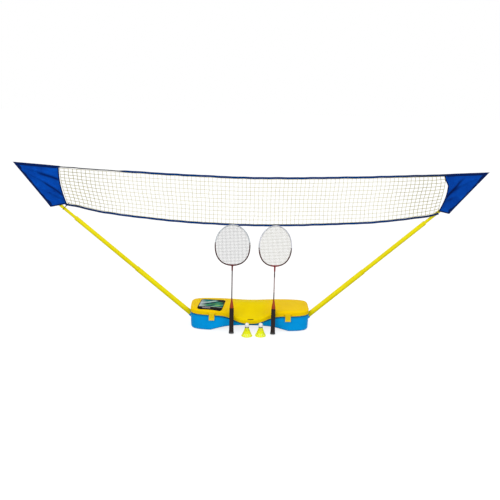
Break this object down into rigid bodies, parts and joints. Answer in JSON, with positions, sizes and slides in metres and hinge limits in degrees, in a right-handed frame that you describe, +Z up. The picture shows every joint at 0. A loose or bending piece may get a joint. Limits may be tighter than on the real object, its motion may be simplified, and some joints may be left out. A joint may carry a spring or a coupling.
{
  "type": "badminton net set",
  "caption": "Free-standing badminton net on telescopic poles that lean out of a hinged carrying case, with fabric end panels, rackets and shuttlecocks.",
  "frame": {"origin": "on the floor, under the middle of the set's bounding box", "axes": "+X along the net to the right, +Z up, -Y towards the side where the rackets and shuttlecocks stand"},
  "size_m": [2.8762, 0.3822, 1.0172],
  "materials": {
    "yellow_plastic": "satin moulded plastic",
    "blue_plastic": "satin moulded plastic",
    "yellow_tube": "powder coat",
    "steel": "plated",
    "black_plastic": "matt",
    "label_film": "printed film",
    "navy_tape": "woven tape",
    "cream_cord": "knotted cord",
    "blue_fabric": "coated woven cloth",
    "black_cord": "elastic cord",
    "maroon_frame": "lacquer, with a pale upper half",
    "red_plastic": "gloss",
    "shaft_metal": "lacquer over metal",
    "string": "plain",
    "brown_cone": "satin",
    "black_grip": "wrapped tape",
    "white_cork": "foam with a thin skin",
    "olive_band": "ribbon",
    "neon_skirt": "moulded nylon"
  },
  "bodies": {
    "base": {"tub": "blue_plastic", "hinge_pin_left": "steel", "hinge_pin_right": "steel", "pole_socket_left": "blue_plastic", "pole_socket_right": "blue_plastic", "pole_lower_left": "yellow_tube", "pole_lower_right": "yellow_tube", "ferrule_lower_left": "yellow_plastic", "ferrule_lower_right": "yellow_plastic"},
    "lid": {"lid": "yellow_plastic", "label_panel": "label_film", "latch_pin_left": "steel", "latch_pin_right": "steel"},
    "latch_left": {"latch_left": "yellow_plastic"},
    "latch_right": {"latch_right": "yellow_plastic"},
    "mid_left": {"pole_mid_left": "yellow_tube", "bush_mid_left": "black_plastic", "ferrule_mid_left": "yellow_plastic"},
    "mid_right": {"pole_mid_right": "yellow_tube", "bush_mid_right": "black_plastic", "ferrule_mid_right": "yellow_plastic"},
    "top_left": {"pole_top_left": "yellow_tube", "bush_top_left": "black_plastic", "tip_cap_left": "black_plastic", "end_panel_left": "blue_fabric", "panel_edging_left": "navy_tape", "tie_loop_left": "black_cord"},
    "top_right": {"pole_top_right": "yellow_tube", "bush_top_right": "black_plastic", "tip_cap_right": "black_plastic", "end_panel_right": "blue_fabric", "panel_edging_right": "navy_tape", "tie_loop_right": "black_cord"},
    "net": {"net_mesh": "cream_cord", "net_top_tape": "navy_tape", "net_bottom_tape": "navy_tape"},
    "racket_left": {"racket_frame_left": "maroon_frame", "racket_strings_left": "string", "racket_tee_left": "red_plastic", "racket_shaft_left": "shaft_metal", "racket_cone_left": "brown_cone", "racket_grip_left": "black_grip", "racket_butt_left": "black_plastic"},
    "racket_right": {"racket_frame_right": "maroon_frame", "racket_strings_right": "string", "racket_tee_right": "red_plastic", "racket_shaft_right": "shaft_metal", "racket_cone_right": "brown_cone", "racket_grip_right": "black_grip", "racket_butt_right": "black_plastic"},
    "shuttle_left": {"shuttle_skirt_left": "neon_skirt", "shuttle_band_left": "olive_band", "shuttle_cork_left": "white_cork"},
    "shuttle_right": {"shuttle_skirt_right": "neon_skirt", "shuttle_band_right": "olive_band", "shuttle_cork_right": "white_cork"}
  },
  "joints": [
    {"name": "lid_hinge", "type": "hinge", "parent": "base", "child": "lid", "pos_m": [0, 0.18535, 0.11], "axis": [-1, 0, 0], "range_deg": [0, 100]},
    {"name": "latch_left_hinge", "type": "hinge", "parent": "lid", "child": "latch_left", "pos_m": [-0.2375, -0.08903, 0.11693], "axis": [-1, 0, 0], "range_deg": [0, 110]},
    {"name": "latch_right_hinge", "type": "hinge", "parent": "lid", "child": "latch_right", "pos_m": [0.2375, -0.08903, 0.11693], "axis": [-1, 0, 0], "range_deg": [0, 110]},
    {"name": "mid_left_slide", "type": "slide", "parent": "base", "child": "mid_left", "axis": [0.7604, 0, -0.6494], "range_m": [0, 0.34]},
    {"name": "mid_right_slide", "type": "slide", "parent": "base", "child": "mid_right", "axis": [-0.7472, 0, -0.6646], "range_m": [0, 0.34]},
    {"name": "top_left_slide", "type": "slide", "parent": "mid_left", "child": "top_left", "axis": [0.7604, 0, -0.6494], "range_m": [0, 0.078]},
    {"name": "top_right_slide", "type": "slide", "parent": "mid_right", "child": "top_right", "axis": [-0.7472, 0, -0.6646], "range_m": [0, 0.078]},
    {"name": "net_drop", "type": "slide", "parent": "base", "child": "net", "axis": [0, 0, -1], "range_m": [0, 0.2746], "deforming": ["net_mesh", "net_top_tape", "net_bottom_tape"]},
    {"name": "racket_left_lift", "type": "slide", "parent": "base", "child": "racket_left", "axis": [0, 0, 1], "range_m": [0, 0.25]},
    {"name": "racket_right_lift", "type": "slide", "parent": "base", "child": "racket_right", "axis": [0, 0, 1], "range_m": [0, 0.25]},
    {"name": "shuttle_left_lift", "type": "slide", "parent": "base", "child": "shuttle_left", "axis": [0, 0, 1], "range_m": [0, 0.15]},
    {"name": "shuttle_right_lift", "type": "slide", "parent": "base", "child": "shuttle_right", "axis": [0, 0, 1], "range_m": [0, 0.15]}
  ],
  "couplings": [
    {"joint": "mid_right_slide", "follows": "mid_left_slide", "ratio": 1},
    {"joint": "top_left_slide", "follows": "mid_left_slide", "ratio": 0.2294},
    {"joint": "top_right_slide", "follows": "mid_left_slide", "ratio": 0.2294},
    {"joint": "net_drop", "follows": "mid_left_slide", "ratio": 0.8077}
  ]
}
